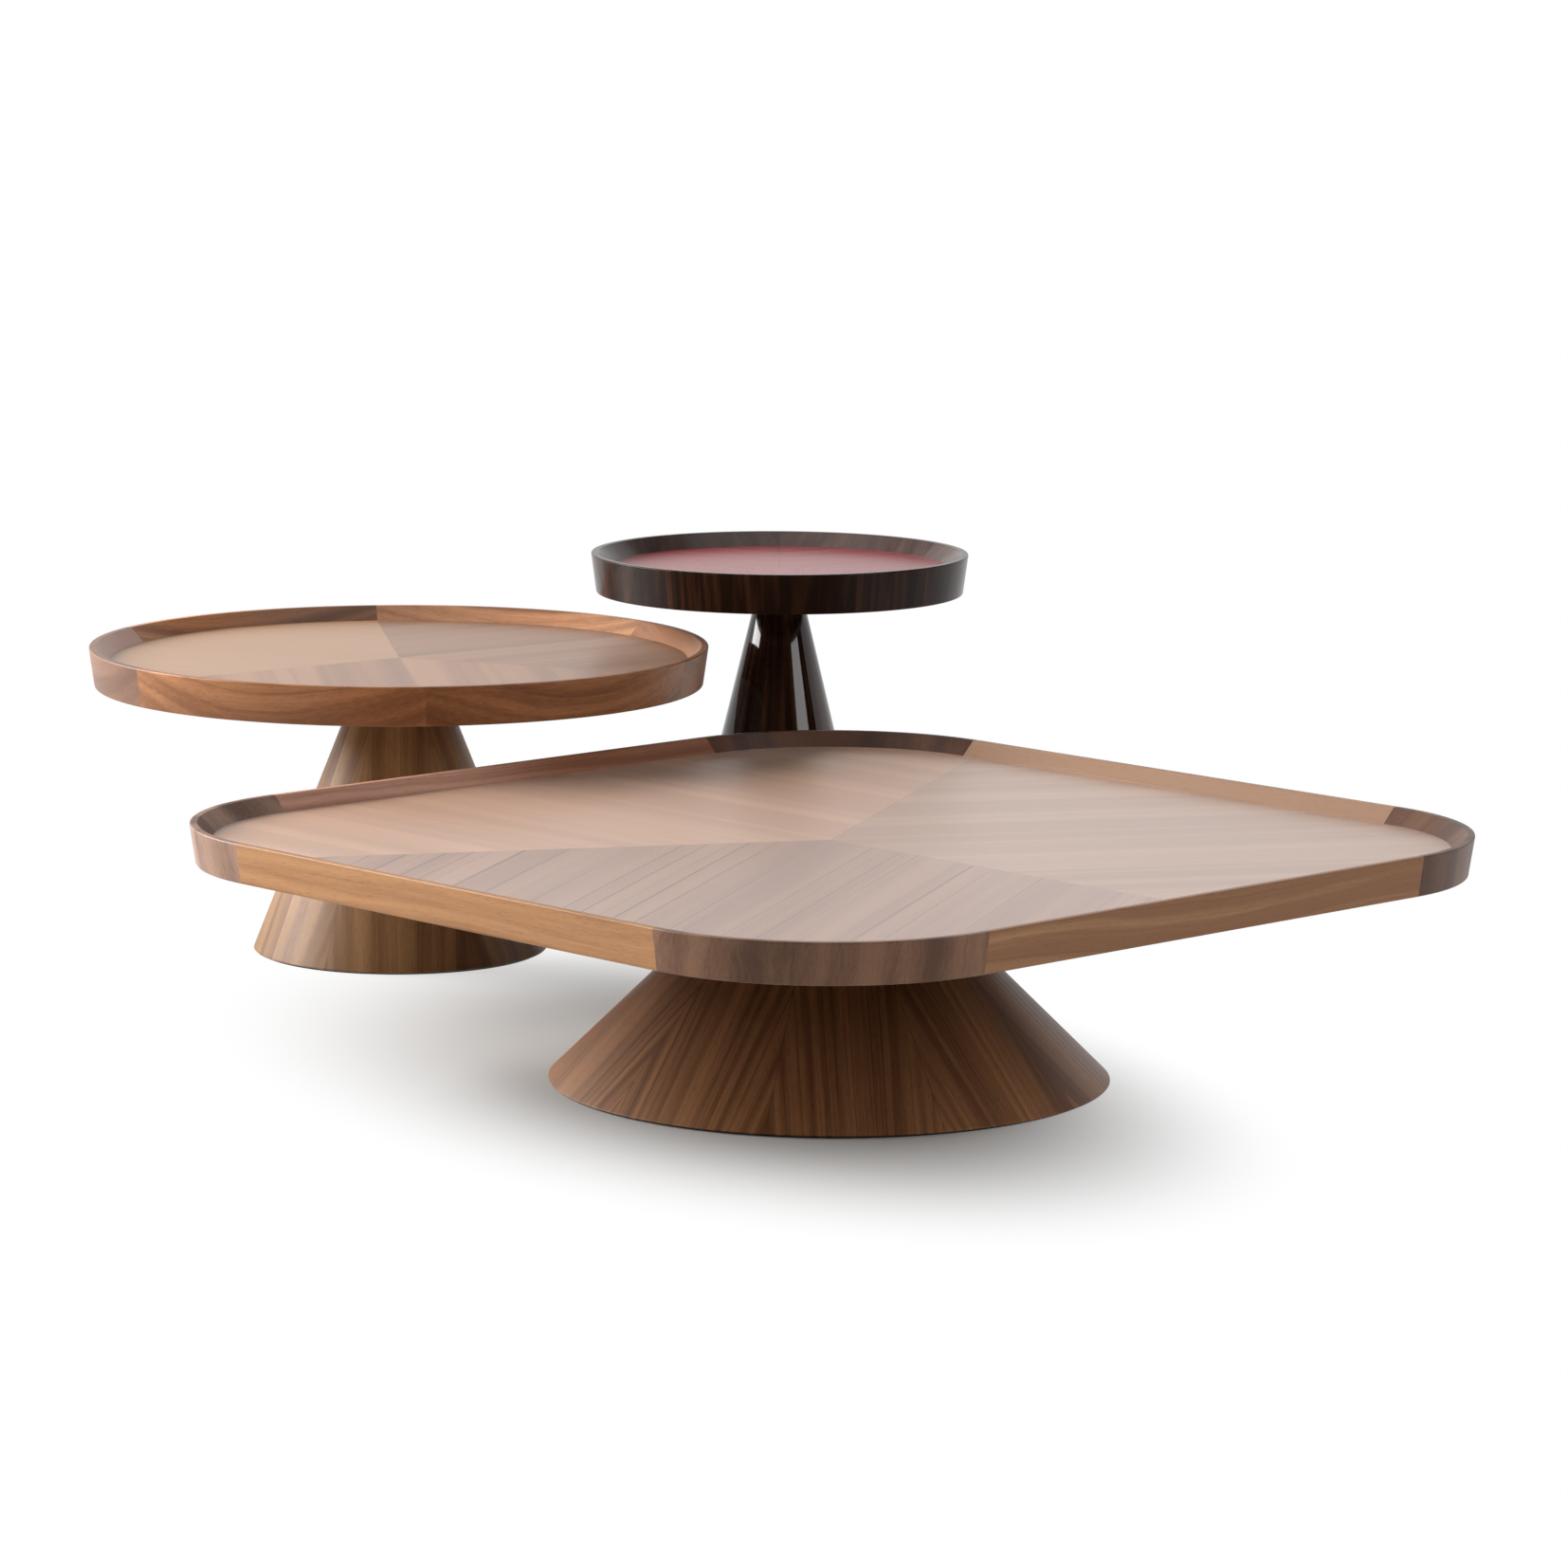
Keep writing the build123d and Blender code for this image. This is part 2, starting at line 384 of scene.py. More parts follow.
POWDER_DARK, POWDER_PALE = (0.010, 0.010, 0.011), (0.020, 0.020, 0.021)
POWDER_GRAINS, POWDER_RELIEF = (450, 450, 450), 0.00012
ZINC_DULL, ZINC_BRIGHT = (0.50, 0.49, 0.44), (0.66, 0.66, 0.63)
ZINC_CLOUDS, ZINC_RELIEF = (120, 120, 120), 0.00004

black_steel, powder = new_material("black_powder_coat")
orange_peel = grains(powder, POWDER_GRAINS)
surface(powder, powder.mix(orange_peel, POWDER_DARK, POWDER_PALE),
        roughness=0.42 + 0.15 * orange_peel, height=orange_peel, depth=POWDER_RELIEF)

zinc_steel, zinc = new_material("zinc_plate")
cloud = grains(zinc, ZINC_CLOUDS, detail=3)
surface(zinc, zinc.mix(cloud.step(*MIDRANGE), ZINC_DULL, ZINC_BRIGHT),
        roughness=0.26 + 0.22 * cloud, height=cloud, depth=ZINC_RELIEF, metallic=1.0)

for table in TABLES:
    finish(black_steel, f"{table.name}_ballast_plate", f"{table.name}_mounting_plate")
    finish(zinc_steel, f"{table.name}_plate_screws", f"{table.name}_tie_rod",
           f"{table.name}_tie_nut")


# --- Tray panels -------------------------------------------------------------------------
# A plywood core glued onto the rim's ledge. Its underside has a plain balancing veneer, with
# the grain all one way, so that the panel stays flat.

BACKING_DARK, BACKING_PALE = (0.13, 0.065, 0.034), (0.24, 0.13, 0.07)
BACKING_FIGURE, BACKING_FIBRES = (1.5, 40, 1), (20, 700, 1)    # to a metre
PORE_RELIEF = 0.00006

backing_material, backing = new_material("backing_veneer")
figure = grains(backing, BACKING_FIGURE, detail=3)
fibres = grains(backing, BACKING_FIBRES)
surface(backing, backing.mix(figure.step(*MIDRANGE), BACKING_DARK, BACKING_PALE),
        roughness=0.5 + 0.1 * fibres, height=fibres, depth=PORE_RELIEF)
for table in TABLES:
    finish(backing_material, f"{table.name}_tray_core")


# --- Tray veneers ------------------------------------------------------------------------
# Three leaves of thick walnut veneer meet at the middle of each tray. The grain of a leaf
# runs along its middle line, and the leaves are matched, so the growth lines form arrows at
# the seams. The small table's tray is stained burgundy under a high gloss.

LEAVES = 3
LEAF_TURN = 2 * math.pi / LEAVES
LEAF_EDGE = LEAF_TURN / 2                # from a leaf's middle line to its seams
FIRST_SEAMS = {"large": 30.0, "medium": 54.8, "small": 46.3}    # their directions in degrees
LOGS = {"large": 5, "medium": 6, "small": 0}    # which log a tray's veneer is cut from
SEAM_WIDTH, SEAM_DEPTH = 0.0005, 0.75
SEAM_COLOUR, BURGUNDY_SEAM = (0.045, 0.022, 0.012), (0.03, 0.008, 0.007)
SATIN_COAT, THIN_COAT, SATIN_ROUGHNESS, SATIN_BLOOM = 0.9, 0.5, 0.38, 0.08  # clear lacquer
VENEER_RELIEF, GLOSS_RELIEF = 0.00005, 0.000004
SEED_STEP = 7.31                         # how far apart the figures of two seeds lie
STRAY, RIPPLE = 0.024, 0.003             # how far growth rings wander and ripple, in metres
FIBRES, PORES = 330, 1300                # to a metre across the grain
PORE_LIMITS, TONE_LIMITS = (0.60, 0.72), (0.05, 0.95)
LINE_EDGES, LINE_GAPS = (0.01, 0.08), (0.35, 0.75)
BAND_DEPTH, GROWTH_DEPTH, FIBRE_DEPTH = 2.0, 1.6, 0.55         # shares of the tone
FIBRE_RISE, PORE_DROP = 0.6, 3.5                               # shares of the relief
MATCH = 0.001                            # half the strip where one figure becomes the next


def walnut(wood, along, across, side, seed, tones, bands, lines, pitch=0.020, spacing=0.022,
           waver=1.0, pores=0.28):
    """Walnut seen along its growth lines: soft bands, thin dark lines and open pores.

    along, across and side are metres along the grain, across the growth rings and in their
    plane, and the numbers that multiply them are waves to a metre. tones are the light, dark
    and line colours; bands and lines say how strongly each shows, pitch how wide the bands
    are, spacing how far apart the lines, waver how far both stray, and pores how dark the
    pores are. Gives colour, roughness and relief.
    """
    light, dark, line = tones
    shift = seed * SEED_STEP
    wander = wood.noise(along * 1.3 + shift, across * 3, side * 12, detail=1.5) - 0.5
    ripple = wood.noise(along * 7 + shift, across * 14, side * 45, detail=1.5) - 0.5
    ring = across + (STRAY * wander + RIPPLE * ripple) * waver
    band = wood.noise(along * 0.35 + shift, ring * 13, side * 4 + shift)
    growth = wood.noise(along * 0.55 + shift, ring / pitch, side * 8 + shift, roughness=0.35)
    fibre = wood.noise(along * 9 + shift, ring * FIBRES, side * 260)
    pore = wood.noise(along * 80 + shift, ring * PORES, side * PORES, detail=0)
    pore = pore.step(*PORE_LIMITS) * pores
    tone = (0.5 + bands * ((band - 0.5) * BAND_DEPTH + (growth - 0.5) * GROWTH_DEPTH)
            + (fibre - 0.5) * FIBRE_DEPTH)
    crowding = wood.noise(along * 0.2 + shift, ring * 22, side * 4) * 1.6
    phase = ring / spacing + crowding
    nearest = wood.maths("ROUND", phase)
    thin = 1 - abs(phase - nearest).step(*LINE_EDGES)
    strength = wood.noise(along * 0.8 + shift, nearest * 5.3, side * 7, detail=0)
    strength = strength.step(*LINE_GAPS)
    colour = wood.mix(tone.step(*TONE_LIMITS), dark, light)
    colour = wood.mix(thin * strength * lines, colour, line)
    colour = wood.mix(pore, colour, line)
    return colour, 0.40 + 0.10 * fibre, fibre * FIBRE_RISE - pore * PORE_DROP


def seam_line(wood, colour, distance, dark):
    """A thin dark line where the distance to a seam is 0."""
    line = 1 - abs(distance).step(0.2 * SEAM_WIDTH, SEAM_WIDTH)
    return wood.mix(line * SEAM_DEPTH, colour, dark)


def leaf_walnut(wood, table, leaf, dark, tones, bands, lines, **figure):
    """Walnut on one leaf, mirrored about its middle line, with its seams darkened.

    The figure changes at the middle line, so that neighbours share a seam's figure.
    """
    middle = math.radians(FIRST_SEAMS[table.name]) + LEAF_TURN * (leaf - 0.5)
    x, y, _ = object_place(wood)
    x, y = x - table.axis.x, y - table.axis.y
    along = x * math.cos(middle) + y * math.sin(middle)
    across = y * math.cos(middle) - x * math.sin(middle)
    neighbour = leaf % LEAVES + 1
    seed = leaf + (neighbour - leaf) * across.step(-MATCH, MATCH) + LOGS[table.name]
    colour, roughness, relief = walnut(wood, along, abs(across), 0.0, seed, tones, bands,
                                       lines, **figure)
    to_seam = along * math.sin(LEAF_EDGE) - abs(across) * math.cos(LEAF_EDGE)
    return seam_line(wood, colour, to_seam, dark), roughness, relief


def tray_veneer(table, leaf, tones, bands, lines, pitch, spacing, waver=0.6, coat=SATIN_COAT,
                bloom=SATIN_BLOOM):
    """Satin walnut for one leaf, given how its figure differs from its neighbours'."""
    material, wood = new_material(f"{table.name}_leaf_{leaf}_veneer")
    colour, roughness, relief = leaf_walnut(wood, table, leaf, SEAM_COLOUR, tones, bands, lines,
                                            pitch=pitch, spacing=spacing, waver=waver)
    surface(wood, colour, roughness, height=relief, depth=VENEER_RELIEF, coat=coat,
            coat_roughness=SATIN_ROUGHNESS, sheen=bloom)
    finish(material, f"{table.name}_tray_leaf_{leaf}")


tray_veneer(large, 1, ((0.64, 0.367, 0.229), (0.54, 0.291, 0.172), (0.42, 0.220, 0.126)),
            bands=1.2, lines=0.35, pitch=0.030, spacing=0.040)
tray_veneer(large, 2, ((0.47, 0.258, 0.165), (0.34, 0.174, 0.112), (0.16, 0.065, 0.036)),
            bands=0.9, lines=1.0, pitch=0.028, spacing=0.024)
tray_veneer(large, 3, ((0.53, 0.315, 0.205), (0.43, 0.240, 0.152), (0.30, 0.160, 0.100)),
            bands=1.1, lines=0.4, pitch=0.026, spacing=0.030)
tray_veneer(medium, 1, ((0.46, 0.250, 0.126), (0.39, 0.207, 0.103), (0.34, 0.175, 0.085)),
            bands=0.35, lines=0.10, pitch=0.030, spacing=0.030, coat=THIN_COAT, bloom=0.0)
tray_veneer(medium, 2, ((0.42, 0.206, 0.105), (0.26, 0.117, 0.058), (0.18, 0.084, 0.044)),
            bands=1.0, lines=0.5, pitch=0.022, spacing=0.018, waver=1.2, coat=THIN_COAT,
            bloom=0.0)
tray_veneer(medium, 3, ((0.35, 0.170, 0.082), (0.23, 0.104, 0.049), (0.18, 0.084, 0.042)),
            bands=0.8, lines=0.25, pitch=0.028, spacing=0.030, coat=THIN_COAT, bloom=0.0)

BURGUNDY = ((0.40, 0.090, 0.095), (0.28, 0.055, 0.060), (0.15, 0.028, 0.030))
for leaf in range(1, LEAVES + 1):
    material, wood = new_material(f"small_leaf_{leaf}_burgundy")
    colour, roughness, relief = leaf_walnut(wood, small, leaf, BURGUNDY_SEAM, BURGUNDY,
                                            bands=0.5, lines=0.0, pores=0.0)
    surface(wood, colour, roughness=0.22 + 0.06 * roughness, height=relief,
            depth=GLOSS_RELIEF, specular=0.15)
    finish(material, f"small_tray_leaf_{leaf}")


# --- Rims --------------------------------------------------------------------------------
# Solid walnut lengths glued end to end round the tray: four straight ones and four quarter-
# round corners on the large table, six curved ones on a round table. Each comes from its own
# board, is moulded to one section with a ledge for the tray, and is sanded to a soft edge.

FLARE, TOP_WIDTH, SLOPE_RUN, LEDGE = 0.007, 0.009, 0.018, 0.014
SOFT_EDGE, SOFT_STEPS = 0.0015, 4
FLAT_HOLD, HOLD_SHARE = 0.002, 0.1       # strips beside a soft edge that keep the flats flat
CREASE = 0.6                             # radians; a sharper bend is shaded as an edge
JOINT = 0.00002                          # glue line between two lengths
ARC_STEPS = 32
RIM_INPUTS = {"Path": "Geometry", "Section": "Object", "Places in a turn": "Int",
              "Made": "Int", "First turn": "Float", "Axis": "Vector", "Finish": "Material",
              "Seed": "Int"}


def softened(corners):
    """A closed outline from (x, z, ease) corners, each rounded to its ease."""
    outline = []
    for index, (x, z, ease) in enumerate(corners):
        corner = Vector((x, z))
        if not ease:
            outline.append(corner)
            continue
        sides = [Vector(corners[k][:2]) - corner for k in (index - 1, (index + 1) % len(corners))]
        arms = [side.normalized() for side in sides]
        half = arms[0].angle(arms[1]) / 2
        back = ease / math.tan(half)
        holds = [back + min(FLAT_HOLD, side.length * HOLD_SHARE) for side in sides]
        centre = corner + (arms[0] + arms[1]).normalized() * ease / math.sin(half)
        start, stop = (corner + arm * back - centre for arm in arms)
        sweep = start.angle_signed(stop)
        outline.append(corner + arms[0] * holds[0])
        for k in range(SOFT_STEPS + 1):
            turn = -sweep * k / SOFT_STEPS
            outline.append(centre + Vector((start.x * math.cos(turn) - start.y * math.sin(turn),
                                            start.x * math.sin(turn) + start.y * math.cos(turn))))
        outline.append(corner + arms[1] * holds[1])
    return outline


def section_curve(name, corners):
    """A closed section to sweep: x is outwards from the path and z is up."""
    data = bpy.data.curves.new(name, "CURVE")
    data.dimensions = "3D"
    outline = softened(corners)[::-1]
    spline = data.splines.new("POLY")
    spline.points.add(len(outline) - 1)
    for point, (x, z) in zip(spline.points, outline):
        point.co = (x, -z, 0, 1)
    spline.use_cyclic_u = True
    made = bpy.data.objects.new(name, data)
    bpy.context.collection.objects.link(made)
    return made


def path_curve(name, points, closed=False):
    """A path of (place, tangent arm) points, level, counter-clockwise round the table."""
    data = bpy.data.curves.new(name, "CURVE")
    data.dimensions = "3D"
    data.twist_mode = "Z_UP"
    spline = data.splines.new("BEZIER")
    spline.bezier_points.add(len(points) - 1)
    for knot, (place, arm) in zip(spline.bezier_points, points):
        knot.handle_left_type = knot.handle_right_type = "FREE"
        knot.co, knot.handle_left, knot.handle_right = place, place - arm, place + arm
    spline.resolution_u = ARC_STEPS
    spline.use_cyclic_u = closed
    made = bpy.data.objects.new(name, data)
    bpy.context.collection.objects.link(made)
    return made


def arc_path(name, radius, half_turn, centre=0.0):
    """An arc about (centre, 0), with its middle on the X axis."""
    arm = 4 / 3 * math.tan(half_turn / 2) * radius
    return path_curve(name, [
        (Vector((centre + radius * math.cos(turn), radius * math.sin(turn), 0)),
         Vector((-math.sin(turn), math.cos(turn), 0)) * arm) for turn in (-half_turn, half_turn)])


def sweep_tree():
    """Sweeps a section along a path and repeats it round an axis, each with its own number."""
    tree = bpy.data.node_groups.new("lengths_round_an_axis", "GeometryNodeTree")
    for label, kind in RIM_INPUTS.items():
        tree.interface.new_socket(label, in_out="INPUT", socket_type=f"NodeSocket{kind}")
    tree.interface.new_socket("Pieces", in_out="OUTPUT", socket_type="NodeSocketGeometry")
    entry = tree.nodes.new("NodeGroupInput")
    given = {label: Socket(tree, entry.outputs[label]) for label in RIM_INPUTS}
    make = Socket(tree)
    section = make.node("GeometryNodeObjectInfo", {}, {0: given["Section"]}, output="Geometry")
    length = make.node("GeometryNodeCurveToMesh", {},
                       {"Curve": given["Path"], "Profile Curve": section, "Fill Caps": True})
    own_place = make.node("GeometryNodeInputPosition")
    length = make.node("GeometryNodeStoreNamedAttribute", {"data_type": "FLOAT_VECTOR"},
                       {"Geometry": length, "Name": "own_place", "Value": own_place})
    smooth = make.maths("LESS_THAN", make.node("GeometryNodeInputMeshEdgeAngle"), CREASE)
    length = make.node("GeometryNodeSetShadeSmooth", {"domain": "EDGE"},
                       {"Geometry": length, "Shade Smooth": smooth})
    turn = given["First turn"] + make.node("GeometryNodeInputIndex") * (
        2 * math.pi / given["Places in a turn"])
    places = make.node("GeometryNodePoints", {}, {"Count": given["Made"],
                                                  "Position": given["Axis"]})
    lengths = make.node("GeometryNodeInstanceOnPoints", {},
                        {"Points": places, "Instance": length,
                         "Rotation": make.vector(0.0, 0.0, turn)})
    number = make.node("FunctionNodeRandomValue", {"data_type": "FLOAT"},
                       {"ID": make.node("GeometryNodeInputIndex"), "Seed": given["Seed"]},
                       output=1)
    lengths = make.node("GeometryNodeStoreNamedAttribute", {"domain": "INSTANCE"},
                        {"Geometry": lengths, "Name": "own_number", "Value": number})
    lengths = make.node("GeometryNodeRealizeInstances", {}, {"Geometry": lengths})
    lengths = make.node("GeometryNodeSetMaterial", {},
                        {"Geometry": lengths, "Material": given["Finish"]})
    make.node("NodeGroupOutput", {}, {0: lengths})
    return tree


sweep = sweep_tree()


def swept_piece(name, table, path, section, material, places=1, made=1, first_turn=0.0,
                seed=1):
    """A plain mesh of a section swept along a path and repeated round a table's axis."""
    modifier = path.modifiers.new("sweep", "NODES")
    modifier.node_group = sweep
    given = {"Section": section, "Places in a turn": places, "Made": made,
             "First turn": first_turn, "Axis": table.axis, "Finish": material, "Seed": seed}
    for item in sweep.interface.items_tree:
        if item.name in given:
            modifier[item.identifier] = given[item.name]
    graph = bpy.context.evaluated_depsgraph_get()
    mesh = bpy.data.meshes.new_from_object(path.evaluated_get(graph), depsgraph=graph)
    mesh.name = name
    bpy.data.objects.remove(path)
    piece = bpy.data.objects.new(name, mesh)
    bpy.context.collection.objects.link(piece)
    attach(piece, table.body)
    return piece


def rim_section(table, top, bottom):
    """The rim's section for a tray whose top outer edge runs along the path."""
    inner = -TOP_WIDTH - SLOPE_RUN
    return section_curve(f"{table.name}_rim_section", [
        (-FLARE, bottom, SOFT_EDGE), (0, top, SOFT_EDGE), (-TOP_WIDTH, top, SOFT_EDGE),
        (inner, table.floor, 0), (inner, table.under, 0), (inner - LEDGE, table.under, 0),
        (inner - LEDGE, bottom, 0)])


SIDE_COAT, CURVED_COAT = 0.12, 0.26
TURNOVER = 0.14                          # half the stretch between a length's two end tints; one of them paints its end in shade
FIGURES = 9                              # spreads the lengths' own numbers over the figures
PAINTED_INNER_COLOUR = (0.66, 0.385, 0.30)            # a paler colour painted on an inner face as painted light


def length_place(wood):
    """Metres outwards, along and up, where the length lay before it was turned into place."""
    return wood.node("ShaderNodeAttribute", {"attribute_name": "own_place"},
                     output="Vector").split()


def inner_slope(wood, place, reach):
    """1 on the sloping inner face of a curved length, 0 on its outer face."""
    depth, along, _ = place
    radius = wood.maths("SQRT", depth * depth + along * along)
    return (reach - radius).step(TOP_WIDTH - SOFT_EDGE, TOP_WIDTH + SOFT_EDGE)


def rim_walnut(name, tones, bands, lines, tints=((0.0, WHITE),), tilt=0.0, upright=0.0,
               pitch=0.014, spacing=0.016, waver=1.0, figure=0.0, coat=CURVED_COAT,
               painted_inner_light=0.0, reach=0.0):
    """Solid walnut whose growth rings lean by tilt from the level.

    Where upright is given, the grain stands up instead and crosses the length, and upright
    says how many times shorter its waves are. A row of tints holds the least own number of
    the lengths that it is for and their tint, or the tints of a length's two ends. The tints
    give each length its own tone and also paint light and shade onto it; two end tints paint
    one end of a length in shade. figure picks the figure. The inner face of a curved length
    of radius reach is painted paler as painted light, by the share given just before reach.
    """
    material, wood = new_material(name)
    place = length_place(wood)
    number = wood.node("ShaderNodeAttribute", {"attribute_name": "own_number"}, output="Fac")
    depth, along, height = place
    # The tints give each length its own tone and also paint light and shade onto it; two end
    # tints paint one end of a length in shade.
    ends = [wood.node("ShaderNodeValToRGB", {"stops": [(row[0], row[k]) for row in tints]},
                      {0: number}) for k in (1, -1)]
    tint = wood.mix(along.step(-TURNOVER, TURNOVER), *ends)
    ring = depth * math.sin(tilt) + height * math.cos(tilt)
    side = height * math.sin(tilt) - depth * math.cos(tilt)
    if upright:
        along, ring, side = height * upright + depth, along, depth
    colour, roughness, relief = walnut(wood, along, ring, side, number * FIGURES + figure,
                                       tones, bands, lines, pitch, spacing, waver)
    colour = wood.mix(1.0, colour, tint, "MULTIPLY")
    # Painted light: the inner face of a curved length is painted paler.
    if painted_inner_light:
        colour = wood.mix(inner_slope(wood, place, reach) * painted_inner_light, colour, PAINTED_INNER_COLOUR)
    surface(wood, colour, roughness, height=relief, depth=PORE_RELIEF, specular=0.20, coat=coat,
            coat_roughness=SATIN_ROUGHNESS)
    return material


side_low, side_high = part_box("large_rim_right")
SIDE_REACH, SIDE_HALF = side_high.x, side_high.y
CORNER = SIDE_REACH - SIDE_HALF          # outer radius of a corner
DIAGONAL = math.radians(45)
SIDE_TONES = ((0.748, 0.412, 0.280), (0.449, 0.215, 0.136), (0.245, 0.106, 0.067))
# Each side's tint is its own tone and also painted light and shade: the far-left side is painted
# in shade towards its far-corner end, and the far-right side is paler and cooler, partly as
# painted sheen.
SIDE_TONE_AND_SHADE_TINTS = ((0.0, (0.701, 0.646, 0.416)),
              (0.25, (0.724, 0.704, 0.512)),
              (0.5, (0.46, 0.33, 0.25), (1.0, 0.97, 1.0)),
              (0.75, (0.82, 1.0, 1.0)))
CORNER_TONES = ((0.388, 0.232, 0.155), (0.155, 0.0775, 0.0485), (0.0775, 0.0396, 0.0267))
# Each corner's tint is its own tone and also painted light and shade: the far corner is darkened
# as painted shade, and the left corner is left palest as painted light.
CORNER_TONE_AND_SHADE_TINTS = ((0.0, WHITE),
                (0.15, (0.832, 0.721, 0.616)),
                (0.45, (0.42, 0.32, 0.235)),
                (0.75, (0.31, 0.18, 0.085)))

large_section = rim_section(large, side_high.z, side_low.z)
side_walnut = rim_walnut("side_walnut", SIDE_TONES, bands=1.0, lines=0.55, tints=SIDE_TONE_AND_SHADE_TINTS,
                         tilt=math.radians(35), pitch=0.011, spacing=0.014, waver=3.0,
                         coat=SIDE_COAT)
corner_walnut = rim_walnut("corner_walnut", CORNER_TONES, bands=0.8, lines=0.3,
                           tints=CORNER_TONE_AND_SHADE_TINTS, upright=5.5, pitch=0.026, spacing=0.020,
                           waver=2.6, figure=7.0)

side_half = SIDE_HALF - JOINT / 2
side_arm = Vector((0, side_half * 2 / 3, 0))
side_path = path_curve("side_path", [(Vector((SIDE_REACH, end * side_half, 0)), side_arm)
                                     for end in (-1, 1)])
sides = swept_piece("large_rim_sides", large, side_path, large_section, side_walnut,
                    places=4, made=4, seed=21)
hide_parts(*(f"large_rim_{side}" for side in ("right", "back", "left", "front")))

corner_path = arc_path("corner_path", CORNER, DIAGONAL - JOINT / 2 / CORNER,
                       centre=SIDE_HALF * math.sqrt(2))
corners = swept_piece("large_rim_corners", large, corner_path, large_section, corner_walnut,
                      places=4, made=4, first_turn=DIAGONAL, seed=822)
bpy.data.objects.remove(large_section)
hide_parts(*(f"large_rim_corner_{k}" for k in range(1, 5)))

ROUND_LENGTHS = 6
LENGTH_TURN = 2 * math.pi / ROUND_LENGTHS
MEDIUM_REACH, SMALL_REACH = 0.400, 0.250     # radius of the rim's outer top edge
MEDIUM_TILT = math.radians(40)
MEDIUM_TONES = ((0.712, 0.308, 0.124), (0.312, 0.116, 0.040), (0.156, 0.0625, 0.0262))
# Each length's tint is its own tone and also painted light and shade: the rightmost length is
# darkened as painted shade, and one length is painted in shade towards one end.
MEDIUM_TONE_AND_SHADE_TINTS = ((0.0, (0.684, 0.684, 0.684)),
                (0.255, (0.67, 0.715, 0.82)),
                (0.38, (0.588, 0.588, 0.588)),
                (0.495, (0.36, 0.345, 0.34), (1.0, 0.95, 0.93)),
                (0.65, (0.39, 0.375, 0.365)))
DARK_TONES = ((0.23, 0.118, 0.072), (0.15, 0.072, 0.042), (0.08, 0.040, 0.024))


def round_rim(table, reach, material, lengths, name, seed):
    """Neighbouring lengths of a round rim, given by their numbers."""
    low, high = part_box(f"{table.name}_rim_length_1")
    section = rim_section(table, high.z, low.z)
    path = arc_path(f"{name}_path", reach, LENGTH_TURN / 2 - JOINT / 2 / reach)
    turn = math.radians(FIRST_SEAMS[table.name]) + LENGTH_TURN * (lengths[0] - 0.5)
    rim = swept_piece(name, table, path, section, material, places=ROUND_LENGTHS,
                      made=len(lengths), first_turn=turn, seed=seed)
    bpy.data.objects.remove(section)
    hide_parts(*(f"{table.name}_rim_length_{(k - 1) % ROUND_LENGTHS + 1}"
                       for k in lengths))


medium_walnut = rim_walnut("medium_rim_walnut", MEDIUM_TONES, bands=0.9, lines=0.35,
                           tints=MEDIUM_TONE_AND_SHADE_TINTS, tilt=MEDIUM_TILT)
# The dark length's inner face is painted paler, as painted light.
dark_walnut = rim_walnut("medium_dark_walnut", DARK_TONES, bands=0.8, lines=0.3,
                         tilt=MEDIUM_TILT, painted_inner_light=0.95, reach=MEDIUM_REACH)
round_rim(medium, MEDIUM_REACH, medium_walnut, (3, 4, 5, 6, 7), "medium_rim_lengths",
          seed=2)
round_rim(medium, MEDIUM_REACH, dark_walnut, (2,), "medium_rim_dark_length", seed=5)

GLOSS_DARK, GLOSS_PALE = (0.012, 0.005, 0.003), (0.058, 0.021, 0.010)
PAINTED_SHEEN = (0.15, 0.105, 0.095)             # painted sheen: a paler colour in place of the reflection on the inner slope
PAINTED_SHEEN_LEAST, PAINTED_SHEEN_STREAKS = 0.25, 0.6
STREAK_LIMITS = 0.42, 0.70
STREAK_RELIEF, WAVE_RELIEF = 0.5, 2


def dark_gloss(name, pattern, dark, pale, polish, haze, unevenness):
    """Near-black stained wood under a polished lacquer, with faint paler streaks.

    pattern gives metres along the grain, across it and in its plane, and how far a point
    is on an inner slope, if the piece has one; there a paler colour is painted in as a
    painted sheen in place of a reflection. polish says how strongly the lacquer mirrors,
    haze how rough it is, and unevenness how much rougher on a streak.
    """
    material, lacquer = new_material(name)
    along, across, side, inner = pattern(lacquer)
    streak = lacquer.noise(along * 3, across * 70, side * 20, detail=3)
    wave = lacquer.noise(along * 9, across * 9, side * 9)
    colour = lacquer.mix(streak.step(*STREAK_LIMITS), dark, pale)
    # Painted sheen: the inner slope is painted paler, with streaks, in place of a reflection.
    if inner:
        colour = lacquer.mix(inner * (PAINTED_SHEEN_LEAST + streak * PAINTED_SHEEN_STREAKS), colour, PAINTED_SHEEN)
    surface(lacquer, colour, roughness=haze + unevenness * streak,
            height=streak * STREAK_RELIEF + wave * WAVE_RELIEF, depth=PORE_RELIEF,
            specular=polish)
    return material


def rim_grain(lacquer):
    """The grain of the dark rim stands up across its lengths."""
    place = length_place(lacquer)
    depth, along, height = place
    return height, along, depth, inner_slope(lacquer, place, SMALL_REACH)


small_gloss = dark_gloss("dark_gloss_rim", rim_grain, GLOSS_DARK, GLOSS_PALE, polish=0.12,
                         haze=0.17, unevenness=0.10)
round_rim(small, SMALL_REACH, small_gloss, (1, 2, 3, 4, 5, 6), "small_rim_lengths", seed=6)


# --- Cones -------------------------------------------------------------------------------
# Hollow staved cones faced with tapering gores of walnut veneer. The grain of a gore climbs
# its middle line and its neighbours are matched, so growth lines meet in tall arrowheads at
# the joints. The small table's cone is lacquered like its rim.

